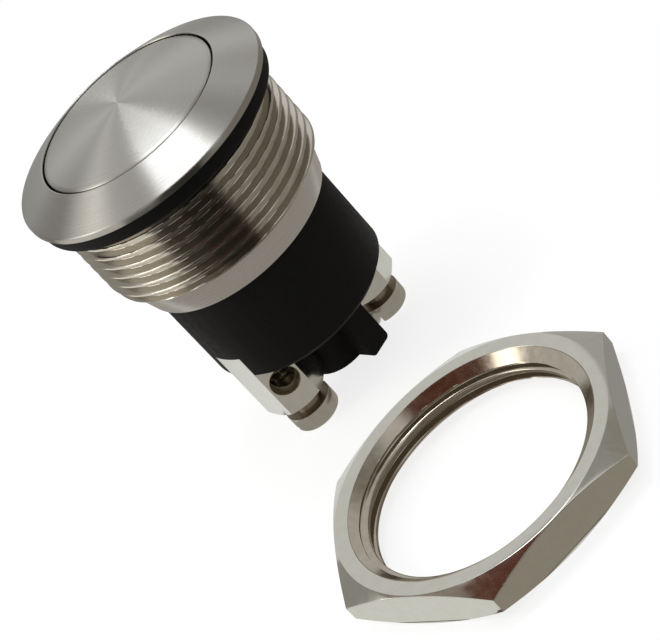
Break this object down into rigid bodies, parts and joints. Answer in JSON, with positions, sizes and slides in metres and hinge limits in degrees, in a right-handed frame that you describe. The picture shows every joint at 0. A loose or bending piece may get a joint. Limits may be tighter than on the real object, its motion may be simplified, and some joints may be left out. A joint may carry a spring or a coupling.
{
  "type": "pushbutton switch",
  "caption": "Momentary metal pushbutton: bevelled flange with gasket, domed button, threaded barrel, black rear body with screw terminals, and a thin hex mounting nut beside it.",
  "frame": {"origin": "on the switch axis at the face of the panel, which is the underside of the gasket", "axes": "+Z along the switch axis, out of the panel towards the finger; -Y towards the loose nut"},
  "size_m": [0.0257, 0.0471, 0.0292],
  "materials": {
    "nickel_plate": "nickel plated, fine turned grain",
    "stainless_button": "fine turned grain",
    "nut_plate": "bright nickel plate",
    "terminal_plate": "bright plated brass",
    "screw_steel": "plated steel",
    "spring_steel": "drawn spring steel",
    "contact_brass": "stamped, plain",
    "contact_silver": "satin silver",
    "housing_plastic": "moulded, matte",
    "carrier_plastic": "moulded, matte",
    "gasket_rubber": "matte",
    "seal_rubber": "matte"
  },
  "bodies": {
    "switch_body": {"barrel": "nickel_plate", "flange_gasket": "gasket_rubber", "stem_seal": "seal_rubber", "seal_washer": "spring_steel", "housing_lid": "housing_plastic", "housing": "housing_plastic", "housing_seal": "seal_rubber", "fixed_contact_left": "contact_brass", "fixed_contact_right": "contact_brass", "fixed_tip_left": "contact_silver", "fixed_tip_right": "contact_silver", "terminal_post_left": "terminal_plate", "terminal_post_right": "terminal_plate", "mounting_nut": "nut_plate"},
    "button": {"button_cap": "stainless_button", "return_spring": "spring_steel", "retaining_clip": "spring_steel", "contact_carrier": "carrier_plastic", "contact_spring": "spring_steel", "contact_bridge": "contact_brass", "bridge_retainer": "spring_steel", "bridge_tip_left": "contact_silver", "bridge_tip_right": "contact_silver"},
    "clamp_screw_left": {"terminal_screw_left": "screw_steel"},
    "clamp_screw_right": {"terminal_screw_right": "screw_steel"}
  },
  "joints": [
    {"name": "button_press", "type": "slide", "parent": "switch_body", "child": "button", "axis": [0, 0, -1], "range_m": [0, 0.002], "stiffness_N_per_m": 1400, "springref_m": -0.0015, "deforming": ["return_spring"]},
    {"name": "screw_left_turn", "type": "hinge", "parent": "switch_body", "child": "clamp_screw_left", "pos_m": [-0.00465, -0.00232, -0.02339], "axis": [0, 0, 1], "range_deg": [0, 848]},
    {"name": "screw_right_turn", "type": "hinge", "parent": "switch_body", "child": "clamp_screw_right", "pos_m": [0.00465, 0.00232, -0.02339], "axis": [0, 0, 1], "range_deg": [0, 848]}
  ]
}
